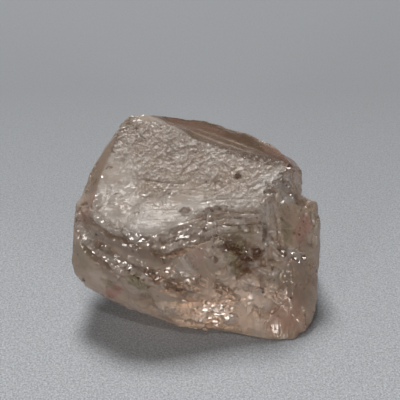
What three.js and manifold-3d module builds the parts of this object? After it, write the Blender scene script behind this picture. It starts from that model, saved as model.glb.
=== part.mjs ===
// A rough crystal of pale brown topaz, one piece, as found: a blocky prism that lies on its side.
// Its long axis runs along X, the striated prism face looks up and to the front (-Y), a smooth bevel
// runs along its top rim, and stepped, shell-like fractures break the front down to a small flat base.
// Millimetres, +Z up, the origin under the middle of the crystal, on the ground that it rests on.
import * as THREE from "three";
import { ConvexGeometry } from "three/addons/geometries/ConvexGeometry.js";
import { mergeVertices } from "three/addons/utils/BufferGeometryUtils.js";
import Module from "manifold-3d";

const wasm = await Module();
wasm.setup();

// Driving sizes, in mm and degrees.
const COLOUR = 0xb39c8a;
const SURFACE = { roughness: 0.3, metalness: 0 };
const TERRACE_DROP = 0.27; // from one broken growth layer to the next
const TERRACE_RIGHT = 6.3; // how far right a broken layer is missing
const TERRACE_BOTTOM = -13; // how far down the slope it is missing
const TERRACE_CLEARANCE = 2; // above the face
const PIT_ROUGHNESS = 0.7;
const SCOOP_DETAIL = 6;
const TURN_RANGE = 6; // radians, nearly a full turn
const WELD = 1e-4;
const CHIP_SEED = 110503;
const STRIA_SEED = 704219;

// A chip: how uneven it is, its proportions, its size as a share of the edge's radius, how much of
// each gap it strays along the edge, and how far its middle stands off the edge.
const CHIP = {
  roughness: 0.9,
  stretch: [1.5, 0.8, 0.8],
  smallest: 0.7,
  sizeRange: 0.9,
  firstPlace: 0.2,
  stray: 0.6,
  standoff: 0.35,
  forward: 0.6,
  upward: 0.8,
};

// Growth lines, in rows up a face. Each is a shallow groove that fades out at both ends.
const STRIA = {
  shortest: 1.6,
  lengthRange: 0.5,
  narrowest: 0.1,
  widthRange: 0.12,
  shallowest: 0.05,
  depthRange: 0.07,
  lean: 0.05,
  leanMiddle: 0.4,
  clearance: 0.4,
};
const FRONT_STRIAE = { rows: 26, first: -9.5, apart: 0.42, middle: -0.6, wander: 7 };
const BACK_STRIAE = { rows: 16, first: -4.2, apart: 0.52, middle: 0, wander: 3.4 };
const SIDE_STRIAE = { rows: 11, first: -3.4, apart: 0.6, middle: 0, wander: 1.8 };
const LONG_STRIA = {
  along: -3.3,
  up: -4.1,
  length: 5.2,
  width: 0.22,
  depth: 0.12,
  lean: -0.05,
};

// Faces that carry growth lines: a point on each, how far it leans from level, and its turn about Z.
const STRIATED_FACE = { at: [0.4, 6.3, 15.3], tilt: 30, turn: 0 };
const BACK_FACE = { at: [-3.2, 11.05, 10.6], tilt: -80, turn: 6 };
const BACK_MIDDLE_FACE = { at: [2.4, 10.95, 10.4], tilt: -80, turn: -8 };
const BACK_RIGHT_FACE = { at: [6.7, 9.5, 9.8], tilt: -79, turn: -29 };
const BACK_LEFT_FACE = { at: [-8.3, 9.2, 10.6], tilt: -84, turn: 54 };

// The crystal is broken into blocks with flat faces. Each block is the tightest shape round its corners,
// [x, y, z] with x to the right, y to the back and z up from the ground. They are measured from a point
// near the middle, and the whole crystal is centred once it is cut.
const UPPER_BLOCK = {
  striatedFace: [
    [-7.2, 7.6, 16.0],
    [-8.4, 4.6, 14.3],
    [-9.2, 2.5, 13.1],
    [-9.9, 0.4, 11.9],
    [-9.2, -0.8, 11.2],
    [-8.0, -1.7, 10.7],
    [-5.7, -2.3, 10.3],
    [-4.2, -2.4, 10.2],
    [5.8, 0.4, 11.9],
    [6.8, 1.4, 12.5],
    [9.0, 4.3, 14.1],
    [-3.9, 8.1, 16.3],
  ],
  topLeftKnob: [
    [-7.0, 9.3, 15.8],
    [-6.7, 9.8, 15.9],
    [-6.3, 9.9, 16.0],
    [-5.6, 9.5, 16.1],
  ],
  rim: [
    [-4.5, 9.5, 15.9],
    [-3.7, 10.3, 15.6],
    [0.9, 10.6, 14.5],
    [4.3, 10.1, 13.8],
    [6.5, 8.9, 13.6],
    [8.1, 7.3, 13.6],
    [9.4, 5.9, 13.3],
  ],
  leftEnd: [
    [-8.0, 7.9, 15.0],
    [-8.6, 6.9, 14.3],
    [-9.4, 5.7, 13.6],
    [-10.1, 4.9, 13.0],
    [-10.5, 4.0, 12.2],
    [-10.9, 3.0, 11.4],
    [-10.6, 1.3, 11.2],
  ],
  rightEnd: [
    [8.0, 2.7, 12.6],
    [9.8, 5.9, 13.0],
    [10.1, 5.6, 12.6],
    [10.3, 5.4, 11.9],
    [10.0, 3.7, 11.2],
    [9.0, 2.6, 11.3],
  ],
  back: [
    [-7.2, 11.0, 8.0],
    [-6.0, 11.6, 6.4],
    [-1.0, 12.2, 6.0],
    [4.6, 11.4, 5.2],
    [9.4, 8.8, 6.0],
    [-9.8, 7.2, 7.4],
    [-10.6, 3.0, 7.0],
  ],
  foot: [
    [-4.5, 0.0, 0],
    [-5.0, 4.0, 0],
    [-3.0, 8.0, 0],
    [4.0, 8.6, 0],
    [8.6, 5.6, 0],
    [8.0, 0.0, 0],
  ],
};

const UPPER_SHELF = {
  crest: [
    [-10.9, 2.9, 11.3],
    [-10.6, 1.1, 11.1],
    [-9.4, -0.9, 11.0],
    [-8.0, -1.9, 10.45],
    [-5.7, -2.5, 10.05],
    [-4.2, -2.6, 9.95],
    [-2.6, -2.7, 9.5],
  ],
  foot: [
    [-10.6, -0.2, 9.9],
    [-9.5, -1.2, 9.2],
    [-8.1, -1.9, 8.8],
    [-6.2, -3.0, 8.2],
    [-4.7, -3.5, 7.7],
    [-2.9, -3.9, 7.0],
    [-1.9, -4.0, 6.7],
  ],
  leftEnd: [
    [-11.3, 2.1, 10.9],
    [-11.4, 1.7, 10.3],
    [-10.8, 5.0, 7.5],
    [-8.0, 6.0, 4.0],
  ],
  inside: [
    [1.0, 4.0, 9.0],
    [0.0, -2.6, 6.6],
    [1.0, 4.0, 3.0],
  ],
};

const LOWER_SHELF = {
  crest: [
    [-11.5, 1.0, 10.0],
    [-10.7, -1.1, 9.1],
    [-9.4, -2.1, 8.6],
    [-8.0, -2.9, 8.2],
    [-7.2, -3.9, 7.8],
    [-6.1, -4.2, 7.6],
    [-4.7, -4.6, 7.1],
    [-2.9, -4.6, 6.5],
    [-2.2, -4.7, 6.2],
    [-1.0, -4.5, 5.5],
  ],
  leftEnd: [
    [-11.5, 1.7, 10.2],
    [-11.7, 0.4, 9.0],
    [-11.8, -0.6, 7.8],
    [-11.9, -1.1, 6.6],
    [-11.6, -1.6, 5.4],
    [-11.0, 4.0, 6.4],
    [-8.0, 4.0, 2.4],
  ],
  brink: [
    [-11.0, -1.8, 4.6],
    [-9.8, -2.1, 3.6],
    [-8.9, -2.4, 3.2],
    [-7.3, -3.0, 2.7],
    [-4.4, -3.7, 2.2],
    [-3.0, -4.0, 1.7],
  ],
  foot: [
    [-4.5, -1.6, 0],
    [-1.0, -3.0, 0],
    [-5.0, 3.0, 0],
    [0.0, 3.0, 0],
  ],
};

// The broken apron at the middle of the front, low down.
const APRON = {
  crest: [
    [-5.6, -3.8, 3.6],
    [-4.0, -4.25, 4.1],
    [-2.3, -4.5, 4.3],
    [0.4, -4.15, 4.1],
    [2.5, -4.1, 3.3],
  ],
  brink: [
    [-5.0, -3.7, 2.4],
    [-3.0, -4.1, 1.8],
    [-1.5, -4.7, 1.2],
    [0.4, -4.9, 1.2],
    [2.6, -4.9, 0.8],
    [3.6, -4.7, 0.6],
  ],
  foot: [
    [-1.5, -3.2, 0],
    [3.4, -3.9, 0],
    [-1.5, 0.0, 3.0],
    [3.0, 0.0, 3.0],
  ],
};

const MIDDLE = {
  crest: [
    [-3.0, -1.6, 10.7],
    [0.4, -0.2, 11.5],
    [5.8, 0.2, 11.7],
    [6.5, 1.4, 11.9],
  ],
  slope: [
    [-4.1, -2.8, 9.8],
    [-3.3, -3.0, 9.6],
    [-2.4, -2.8, 9.6],
    [0.4, -1.5, 9.8],
    [2.8, -0.8, 10.0],
    [5.1, -0.5, 9.9],
    [6.3, -0.2, 9.8],
    [6.3, -1.0, 8.4],
    [4.2, -2.2, 6.4],
  ],
  brink: [
    [-1.5, -4.1, 0.9],
    [1.4, -4.3, 0.6],
    [5.2, -4.4, 0.4],
  ],
  foot: [
    [-1.0, -3.0, 0],
    [5.0, -3.6, 0],
    [0.0, 6.0, 0],
    [8.0, 2.0, 0],
  ],
};

const TOE = {
  ridge: [
    [1.2, -3.0, 5.3],
    [1.8, -3.0, 5.5],
    [2.5, -3.2, 4.9],
    [3.4, -3.7, 4.3],
    [4.2, -3.9, 4.0],
    [5.4, -4.0, 3.6],
  ],
  crest: [
    [4.2, -2.5, 6.2],
    [6.3, -2.1, 6.6],
    [9.0, -1.4, 6.6],
  ],
  brink: [
    [2.6, -4.6, 0.5],
    [5.2, -4.7, 0.4],
    [8.1, -5.3, 0.1],
  ],
  foot: [
    [3.0, -4.0, 0],
    [8.0, -4.5, 0],
    [3.0, 1.0, 5.0],
    [8.0, 2.0, 5.0],
  ],
};

const RIGHT_COLUMN = {
  crest: [
    [6.3, 1.7, 11.6],
    [7.2, 1.9, 11.2],
    [7.0, 3.2, 11.4],
    [10.2, 3.4, 10.8],
    [10.9, 3.4, 10.4],
    [11.6, 3.6, 10.0],
  ],
  front: [
    [6.5, -0.1, 9.0],
    [7.4, -0.1, 8.2],
    [8.1, -0.6, 7.4],
    [9.0, -1.4, 6.6],
    [11.0, 2.5, 9.3],
    [11.1, 0.1, 5.4],
    [10.9, -2.4, 2.0],
  ],
  rightEnd: [
    [11.9, 3.3, 8.9],
    [12.1, 2.3, 6.9],
    [12.0, 1.0, 4.6],
    [11.9, -1.2, 2.2],
    [11.6, -2.8, 1.1],
    [11.0, -4.0, 0.5],
    [11.4, 5.4, 8.4],
    [11.3, 6.2, 5.0],
    [9.8, 8.2, 4.5],
  ],
  brink: [
    [7.0, -4.9, 0.3],
    [8.1, -5.3, 0.1],
    [9.6, -5.1, 0.1],
  ],
  foot: [
    [9.6, -4.5, 0],
    [7.0, -4.7, 0],
    [10.7, -0.5, 0],
    [8.8, 5.4, 0],
    [3.0, 0.0, 0],
  ],
};

// The bevel along the rim hollows the striated face's upper edge in a shallow bow.
const BEVEL_BOW = {
  onFace: [
    [-3.9, 8.1, 16.32],
    [-1.5, 7.1, 15.74],
    [0.4, 6.3, 15.28],
    [2.8, 5.7, 14.94],
    [5.2, 5.4, 14.77],
    [9.0, 4.3, 14.14],
  ],
  onRim: [
    [-3.7, 10.3, 15.62],
    [0.9, 10.6, 14.52],
    [4.3, 10.1, 13.82],
    [6.5, 8.9, 13.62],
    [8.1, 7.3, 13.62],
  ],
  above: [
    [-3.9, 9.0, 19.0],
    [3.0, 8.0, 19.0],
    [9.0, 6.0, 17.0],
  ],
};

// Broken edges of the growth layers that step down from the striated face, as [along X, up the slope]
// on that face.
const TERRACE_EDGES = [
  [
    [-3.2, -9.9],
    [-2.7, -9.1],
    [-1.5, -8.6],
    [0.1, -7.9],
    [0.5, -7.3],
    [0.4, -6.95],
    [2.3, -6.9],
    [4.2, -7.05],
    [6.3, -6.7],
  ],
  [
    [-1.9, -10.2],
    [-1.2, -9.2],
    [-0.2, -8.8],
    [0.7, -8.0],
    [1.1, -7.5],
    [3.0, -7.4],
    [4.6, -7.55],
    [6.3, -7.3],
  ],
  [
    [-0.6, -10.2],
    [0.3, -9.0],
    [1.5, -8.2],
    [2.4, -7.9],
    [3.8, -8.1],
    [6.3, -7.85],
  ],
  [
    [0.8, -10.4],
    [1.3, -9.2],
    [2.5, -8.6],
    [4.0, -8.45],
    [5.2, -8.7],
    [6.3, -8.5],
  ],
];

// Hollows: where, and half the width, the depth back and the height.
const PITS = [
  { at: [4.5, -2.3, 7.3], half: [0.95, 0.8, 0.6] },
  { at: [4.3, -1.7, 8.2], half: [0.6, 0.5, 0.7] },
  { at: [5.7, -1.5, 8.0], half: [0.45, 0.6, 0.75] },
  { at: [5.1, -1.8, 7.5], half: [0.8, 0.5, 0.35] },
  { at: [2.7, -1.6, 9.0], half: [0.7, 0.4, 0.3] },
  { at: [3.4, -1.5, 8.7], half: [0.5, 0.35, 0.35] },
  { at: [6.5, -0.2, 9.3], half: [0.32, 0.5, 0.85] },
  { at: [7.8, -1.0, 8.1], half: [0.55, 0.6, 0.4] },
  { at: [8.7, -1.5, 7.1], half: [0.3, 0.5, 0.4] },
  { at: [0.2, -3.2, 5.8], half: [0.6, 0.5, 0.3] },
  { at: [-1.5, -4.7, 6.1], half: [0.6, 0.4, 0.3] },
  { at: [-3.6, -4.4, 7.1], half: [0.6, 0.4, 0.35] },
  { at: [-4.9, -4.0, 7.7], half: [0.5, 0.4, 0.22] },
  { at: [-0.9, 0.0, 11.7], half: [0.6, 0.35, 0.25] },
  { at: [3.9, 3.0, 13.45], half: [0.35, 0.5, 0.3] },
  { at: [-11.5, 0.9, 9.9], half: [0.35, 0.3, 0.3] },
  { at: [-7.4, 11.4, 9.4], half: [0.9, 0.6, 0.7] },
  { at: [2.6, 11.9, 8.6], half: [0.8, 0.5, 0.6] },
  { at: [9.9, 8.3, 8.2], half: [0.7, 0.7, 0.8] },
];

// Shell-like fractures, each a bite out of a ball: its middle and radius.
const SCOOPS = [
  { at: [-9.2, 14.6, 4.0], radius: 6.6 },
  { at: [3.4, 18.2, 4.4], radius: 7.4 },
  { at: [-15.6, 6.2, 1.0], radius: 7.4 },
  { at: [14.4, 11.0, 8.6], radius: 5.6 },
  { at: [-4.8, -9.6, 0.4], radius: 5.9 },
  { at: [12.6, 3.0, -4.6], radius: 6.2 },
];

// Edges that are chipped: from, to, how many chips and their radius.
const CHIPPED_EDGES = [
  { from: [-9.9, 0.4, 11.9], to: [-8.0, -1.7, 10.7], count: 4, radius: 0.3 },
  { from: [-8.0, -1.7, 10.7], to: [-4.2, -2.4, 10.2], count: 9, radius: 0.36 },
  { from: [-4.0, -2.7, 9.9], to: [0.2, -1.6, 9.8], count: 10, radius: 0.42 },
  { from: [-10.7, -1.1, 9.1], to: [-8.0, -2.9, 8.2], count: 6, radius: 0.32 },
  { from: [-8.0, -2.9, 8.2], to: [-4.7, -4.6, 7.1], count: 9, radius: 0.4 },
  { from: [-4.7, -4.6, 7.1], to: [-1.0, -4.5, 5.5], count: 7, radius: 0.36 },
  { from: [-7.2, 7.6, 16.0], to: [-5.4, 9.4, 16.1], count: 6, radius: 0.34 },
  { from: [-7.2, 7.6, 16.0], to: [-9.9, 0.4, 11.9], count: 6, radius: 0.22 },
  { from: [7.0, 1.7, 12.6], to: [9.4, 4.6, 13.7], count: 7, radius: 0.34 },
  { from: [-2.0, -4.8, 2.0], to: [2.6, -4.9, 0.9], count: 10, radius: 0.4 },
  { from: [-3.0, -4.6, 4.2], to: [2.4, -4.3, 3.4], count: 8, radius: 0.34 },
  { from: [1.8, -3.0, 5.5], to: [5.4, -4.0, 3.6], count: 5, radius: 0.28 },
  { from: [6.4, 1.6, 11.6], to: [11.2, 3.6, 10.3], count: 6, radius: 0.3 },
  { from: [-10.0, 7.0, 8.0], to: [-6.2, 11.5, 7.0], count: 5, radius: 0.4 },
  { from: [-1.0, 12.1, 6.2], to: [9.2, 8.9, 6.2], count: 8, radius: 0.42 },
];

// A repeatable spread of numbers from 0 to 1.
const spreadFrom = (seed) => {
  let state = seed;
  return () => {
    state = (state * 16807) % 2147483647;
    return state / 2147483647;
  };
};

const bareOf = (geometry) => {
  const bare = geometry.clone();
  bare.deleteAttribute("normal");
  bare.deleteAttribute("uv");
  return bare;
};

const solidOf = (geometry) => {
  const merged = mergeVertices(bareOf(geometry), WELD);
  return new wasm.Manifold(
    new wasm.Mesh({
      numProp: 3,
      vertProperties: merged.attributes.position.array,
      triVerts: new Uint32Array(merged.index.array),
    }),
  );
};

const hullOf = (corners) =>
  new ConvexGeometry(corners.map((corner) => new THREE.Vector3(...corner)));

const blockOf = (corners) => solidOf(hullOf(Object.values(corners).flat()));

// Turns a geometry laid out flat, x along and y up the slope, onto one of the crystal's faces.
const ontoPlane = (geometry, { tilt, turn, at }) =>
  geometry
    .rotateX(THREE.MathUtils.degToRad(tilt))
    .rotateZ(THREE.MathUtils.degToRad(turn))
    .translate(...at);

const terraceCut = (edge, step) => {
  const outline = new THREE.Shape([
    ...edge.map(([along, up]) => new THREE.Vector2(along, up)),
    new THREE.Vector2(TERRACE_RIGHT, TERRACE_BOTTOM),
    new THREE.Vector2(edge[0][0], TERRACE_BOTTOM),
  ]);
  const depth = TERRACE_DROP * (step + 1);
  return solidOf(
    ontoPlane(
      new THREE.ExtrudeGeometry(outline, {
        depth: depth + TERRACE_CLEARANCE,
        bevelEnabled: false,
      }).translate(0, 0, -depth),
      STRIATED_FACE,
    ),
  );
};

// A rough ball with flat faces, turned and dented by the next numbers of a spread.
const lump = (radius, detail, roughness, next) => {
  const ball = mergeVertices(bareOf(new THREE.IcosahedronGeometry(radius, detail)), WELD);
  const place = ball.attributes.position;
  for (let i = 0; i < place.count; i++) {
    const reach = 1 + roughness * (next() - 0.5);
    place.setXYZ(
      i,
      place.getX(i) * reach,
      place.getY(i) * reach,
      place.getZ(i) * reach,
    );
  }
  return ball
    .rotateX(TURN_RANGE * next())
    .rotateY(TURN_RANGE * next())
    .rotateZ(TURN_RANGE * next());
};

const pitCut = ({ at, half }, next) =>
  solidOf(
    lump(1, 1, PIT_ROUGHNESS, next)
      .scale(...half)
      .translate(...at),
  );

const chipCuts = ({ from, to, count, radius }, next) =>
  Array.from({ length: count }, (_, i) => {
    const at = new THREE.Vector3(...from).lerp(
      new THREE.Vector3(...to),
      (i + CHIP.firstPlace + CHIP.stray * next()) / count,
    );
    const size = radius * (CHIP.smallest + CHIP.sizeRange * next());
    const away = CHIP.standoff * size;
    return solidOf(
      lump(size, 0, CHIP.roughness, next)
        .scale(...CHIP.stretch)
        .translate(at.x, at.y - away * CHIP.forward, at.z + away * CHIP.upward),
    );
  });

const striaCut = (plane, { along, up, length, width, depth, lean }) => {
  const half = length / 2;
  return solidOf(
    ontoPlane(
      hullOf([
        [-half, -lean * half, 0],
        [half, lean * half, 0],
        [0, width / 2, 0],
        [0, -width / 2, 0],
        [0, 0, -depth],
        [0, 0, STRIA.clearance],
      ]).translate(along, up, 0),
      plane,
    ),
  );
};

const striaeOn = (plane, { rows, first, apart, middle, wander }, next) =>
  Array.from({ length: rows }, (_, row) =>
    striaCut(plane, {
      along: middle + wander * (next() - 0.5),
      up: first + apart * (row + next()),
      length: STRIA.shortest + STRIA.lengthRange * wander * next(),
      width: STRIA.narrowest + STRIA.widthRange * next(),
      depth: STRIA.shallowest + STRIA.depthRange * next(),
      lean: STRIA.lean * (next() - STRIA.leanMiddle),
    }),
  );

const growthLines = (next) => [
  striaCut(STRIATED_FACE, LONG_STRIA),
  ...striaeOn(STRIATED_FACE, FRONT_STRIAE, next),
  ...striaeOn(BACK_FACE, BACK_STRIAE, next),
  ...striaeOn(BACK_MIDDLE_FACE, SIDE_STRIAE, next),
  ...striaeOn(BACK_RIGHT_FACE, SIDE_STRIAE, next),
  ...striaeOn(BACK_LEFT_FACE, SIDE_STRIAE, next),
];

const spread = spreadFrom(CHIP_SEED);
const body = [
  UPPER_BLOCK,
  UPPER_SHELF,
  LOWER_SHELF,
  APRON,
  MIDDLE,
  TOE,
  RIGHT_COLUMN,
]
  .map(blockOf)
  .reduce((whole, block) => whole.add(block));
const cuts = [
  blockOf(BEVEL_BOW),
  ...TERRACE_EDGES.map(terraceCut),
  ...PITS.map((pit) => pitCut(pit, spread)),
  ...SCOOPS.map(({ at, radius }) =>
    solidOf(new THREE.IcosahedronGeometry(radius, SCOOP_DETAIL).translate(...at)),
  ),
  ...CHIPPED_EDGES.flatMap((edge) => chipCuts(edge, spread)),
  ...growthLines(spreadFrom(STRIA_SEED)),
];

// Takes a bite only where it opens on the outside and the stone stays in one piece.
const bite = (whole, cut) => {
  const left = whole.subtract(cut);
  return left.decompose().length === 1 ? left : whole;
};
const crystal = cuts.reduce(bite, body);

const mesh = crystal.getMesh();
const positions = new Float32Array(mesh.numVert * 3);
for (let i = 0; i < mesh.numVert; i++)
  positions.set(
    mesh.vertProperties.subarray(i * mesh.numProp, i * mesh.numProp + 3),
    i * 3,
  );
const geometry = new THREE.BufferGeometry()
  .setAttribute("position", new THREE.BufferAttribute(positions, 3))
  .setIndex(new THREE.BufferAttribute(mesh.triVerts, 1));
geometry.computeBoundingBox();
const middle = geometry.boundingBox.getCenter(new THREE.Vector3());
geometry.translate(-middle.x, -middle.y, -geometry.boundingBox.min.z);

const stone = new THREE.Mesh(
  geometry,
  new THREE.MeshStandardMaterial({ color: COLOUR, ...SURFACE }),
);
stone.name = "topaz_crystal";
const part = new THREE.Group();
part.add(stone);
export default part;
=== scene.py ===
"""A rough topaz crystal at rest on a pale floor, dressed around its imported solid.

Lengths inside the classes are in millimetres unless a name says otherwise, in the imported
model's own frame: X along the crystal, Y to the back, Z up from the floor.
"""

import logging
import math
from dataclasses import dataclass, field
from enum import Enum, IntEnum

import bpy
import numpy as np
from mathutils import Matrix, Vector
from mathutils.bvhtree import BVHTree


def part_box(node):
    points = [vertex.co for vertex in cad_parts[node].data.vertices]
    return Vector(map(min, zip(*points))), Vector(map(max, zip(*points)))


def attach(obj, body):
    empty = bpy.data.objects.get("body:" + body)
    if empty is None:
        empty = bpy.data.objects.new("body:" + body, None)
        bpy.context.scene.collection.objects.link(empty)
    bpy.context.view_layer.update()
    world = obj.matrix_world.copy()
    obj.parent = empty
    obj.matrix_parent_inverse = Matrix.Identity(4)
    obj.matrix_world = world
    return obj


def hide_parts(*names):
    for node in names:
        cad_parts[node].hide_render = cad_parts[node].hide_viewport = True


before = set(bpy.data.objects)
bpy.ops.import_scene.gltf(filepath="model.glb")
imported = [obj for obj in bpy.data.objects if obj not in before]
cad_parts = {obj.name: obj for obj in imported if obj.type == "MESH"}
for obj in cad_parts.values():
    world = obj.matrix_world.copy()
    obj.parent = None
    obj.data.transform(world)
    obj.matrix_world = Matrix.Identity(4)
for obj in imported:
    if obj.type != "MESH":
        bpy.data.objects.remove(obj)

log = logging.getLogger("topaz")

MM = 0.001
NODE = "topaz_crystal"
SLOT = "topaz"

Points = np.ndarray
Scalars = np.ndarray
Corner = tuple[float, float, float]
Pixel = tuple[float, float]
Colour = tuple[float, float, float, float]
Socket = bpy.types.NodeSocket

# Turns the facets' lattice away from the crystal's own axes.
FACET_TURN = np.array([[0.36, 0.48, -0.8], [-0.8, 0.6, 0.0], [0.48, 0.64, 0.6]])
FACET_BEND = 0.35
FACET_BEND_PITCH = 0.6
OCTAVE_SHIFT = 17.3

# Odd whole numbers that scatter a cell's coordinates over 32 bits.
HASH_STRIDES = (374761393, 668265263, 2246822519)
HASH_SEED_STEP = 3266489917
HASH_SALT_STEP = 40503 * 65537
HASH_MIXES = ((15, 2246822519), (13, 3266489917))
HASH_LAST_SHIFT = 16
HASH_RANGE = 2**32
MIDDLE_SALTS = (1, 2, 3)
CHANCE_SALTS = (4, 5, 6)

# How far two ways agree where a point starts to count as part of a flat face, and where it does.
SAME_WAY = (0.84, 0.94)
LAMP_AIM = (0.0, 0.0, 8.0)
FLASH_WAY = "flash_way"
# Leaves only the last digits of a facet's place, which are as good as random.
CHANCE_SCALE = 1.0e6


class Mark(Enum):
    """What the skin keeps at each of its corners for the finish, by its attribute's name."""

    RUST = "rust"
    OLIVE = "olive"
    BLUSH = "blush"
    BROKEN = "broken"
    GROWN = "grown"
    WINDOW = "window"
    CALM = "calm"
    # The crevice, crest, dark-patch and pale-patch marks carry painted shade and painted
    # highlights.
    CREVICE = "crevice"
    CREST = "crest"
    DUSK = "dusk"
    PALE = "pale"
    FLASH = "flash"
    REAR = "rear"
    COLUMN = "column"
    FRONT = "front"


class Kind(Enum):
    """The kinds of socket that the node groups have."""

    NUMBER = "NodeSocketFloat"
    VECTOR = "NodeSocketVector"


class Blend(Enum):
    """What is mixed: the node's type of data, and the places of its inputs and its output."""

    COLOUR = ("RGBA", (0, 6, 7), 2)
    NORMAL = ("VECTOR", (0, 4, 5), 1)


class Seed(IntEnum):
    """Where each noise starts, so that every run gives the same crystal."""

    WANDER = 3
    PATCH_EDGE = 8
    LINE_DRIFT = 21
    LINE_BUNDLE = 22
    GROWTH_LINE = 23
    UNEVEN = 30
    SWELL = 31
    DIMPLE = 32
    RIDGE = 33
    ETCHING = 34
    STEEP_WISP = 35
    LOW_WISP = 36
    FINE_ETCHING = 37
    CROSS_WISP = 38
    SPLINTER = 41
    SMALL_SPLINTER = 44
    FINE_SPLINTER = 48
    SHELL = 51
    CHIP = 53
    FINE_CHIP = 57
    CREASE = 61
    STEP = 62
    STREAK = 71
    KNOB = 72
    GROOVE_EDGE = 81
    HOLLOW_EDGE = 82


def smoothstep(low: float, high: float, value: Scalars) -> Scalars:
    """Rises smoothly from 0 at low to 1 at high.

    Args:
        low: Where the rise starts. It may be above high, for a fall.
        high: Where the rise ends.
        value: The values to look up.

    Returns:
        A value from 0 to 1 for each one.
    """
    share = np.clip((value - low) / (high - low), 0.0, 1.0)
    return share * share * (3.0 - 2.0 * share)


def direction(facing_deg: float, rise_deg: float) -> Points:
    """Gives the way that a face looks.

    Args:
        facing_deg: Compass way, 0 for +X, 90 for +Y and 270 for the front.
        rise_deg: How far it climbs above level.

    Returns:
        The unit vector.
    """
    facing, rise = math.radians(facing_deg), math.radians(rise_deg)
    level = math.cos(rise)
    return np.array([level * math.cos(facing), level * math.sin(facing), math.sin(rise)])


@dataclass(frozen=True)
class Noise:
    """Repeatable smooth noise and random cells over points in space."""

    seed: int

    def _lattice(self, cells: Points, salt: int = 0) -> Scalars:
        """Gives one number from 0 to 1 for each whole-numbered cell.

        Args:
            cells: Whole coordinates, one row for each cell.
            salt: Picks another number for the same cells.

        Returns:
            The numbers.
        """
        mixed = np.uint32((self.seed * HASH_SEED_STEP + salt * HASH_SALT_STEP) % HASH_RANGE)
        for axis, stride in enumerate(HASH_STRIDES):
            whole = cells[..., axis].astype(np.int64).astype(np.uint32)
            mixed = mixed + whole * np.uint32(stride)
        for shift, factor in HASH_MIXES:
            mixed = (mixed ^ (mixed >> np.uint32(shift))) * np.uint32(factor)
        mixed = mixed ^ (mixed >> np.uint32(HASH_LAST_SHIFT))
        return mixed.astype(np.float64) / HASH_RANGE

    def smooth(self, points: Points) -> Scalars:
        """Gives one octave of noise.

        Args:
            points: Where to look it up, one unit for a lump.

        Returns:
            A value from -1 to 1 for each point.
        """
        base = np.floor(points)
        part = points - base
        ease = part * part * part * (part * (part * 6.0 - 15.0) + 10.0)
        total = np.zeros(len(points))
        for corner in np.ndindex(2, 2, 2):
            weight = np.prod(np.where(np.array(corner) == 1, ease, 1.0 - ease), axis=1)
            total += weight * self._lattice(base + np.array(corner))
        return 2.0 * total - 1.0

    def fractal(self, points: Points, octaves: int, gain: float = 0.5) -> Scalars:
        """Adds octaves of noise, each twice as fine.

        Args:
            points: Where to look it up, one unit for the coarsest lump.
            octaves: How many to add.
            gain: The height of each octave as a share of the one before.

        Returns:
            The sum, about -1 to 1.
        """
        total, height, reach = np.zeros(len(points)), 1.0, 0.0
        for octave in range(octaves):
            total += height * self.smooth(points * 2.0**octave + OCTAVE_SHIFT * octave)
            reach += height
            height *= gain
        return total / reach

    def facets(self, points: Points) -> Scalars:
        """Gives flat three-cornered facets that meet at sharp edges.

        Args:
            points: Where to look it up, one unit for a facet.

        Returns:
            The height of the facet at each point, from -1 to 1.
        """
        bends = [Noise(self.seed + step).smooth(points * FACET_BEND_PITCH) for step in (1, 2, 3)]
        turned = points @ FACET_TURN + FACET_BEND * np.column_stack(bends)
        corner = np.floor(turned)
        part = turned - corner
        order = np.argsort(-part, axis=1)
        rows = np.arange(len(points))
        total = (1.0 - part[rows, order[:, 0]]) * self._lattice(corner)
        for step in range(3):
            corner[rows, order[:, step]] += 1.0
            following = part[rows, order[:, step + 1]] if step < 2 else 0.0
            total += (part[rows, order[:, step]] - following) * self._lattice(corner)
        return 2.0 * total - 1.0

    def cells(self, points: Points) -> tuple[Scalars, Points, Points]:
        """Finds the random cell that each point lies in.

        Args:
            points: Where to look, one unit for a cell.

        Returns:
            The distance to the cell's middle, the way from the middle, and three random numbers.
        """
        base = np.floor(points)
        nearest = np.full(len(points), np.inf)
        offset = np.zeros_like(points)
        home = np.zeros_like(points)
        for step in np.ndindex(3, 3, 3):
            cell = base + np.array(step) - 1.0
            shift = np.stack([self._lattice(cell, salt) for salt in MIDDLE_SALTS], axis=1)
            away = points - (cell + shift)
            distance = np.linalg.norm(away, axis=1)
            closer = distance < nearest
            nearest = np.where(closer, distance, nearest)
            offset[closer] = away[closer]
            home[closer] = cell[closer]
        chance = np.stack([self._lattice(home, salt) for salt in CHANCE_SALTS], axis=1)
        return nearest, offset, chance


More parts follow.
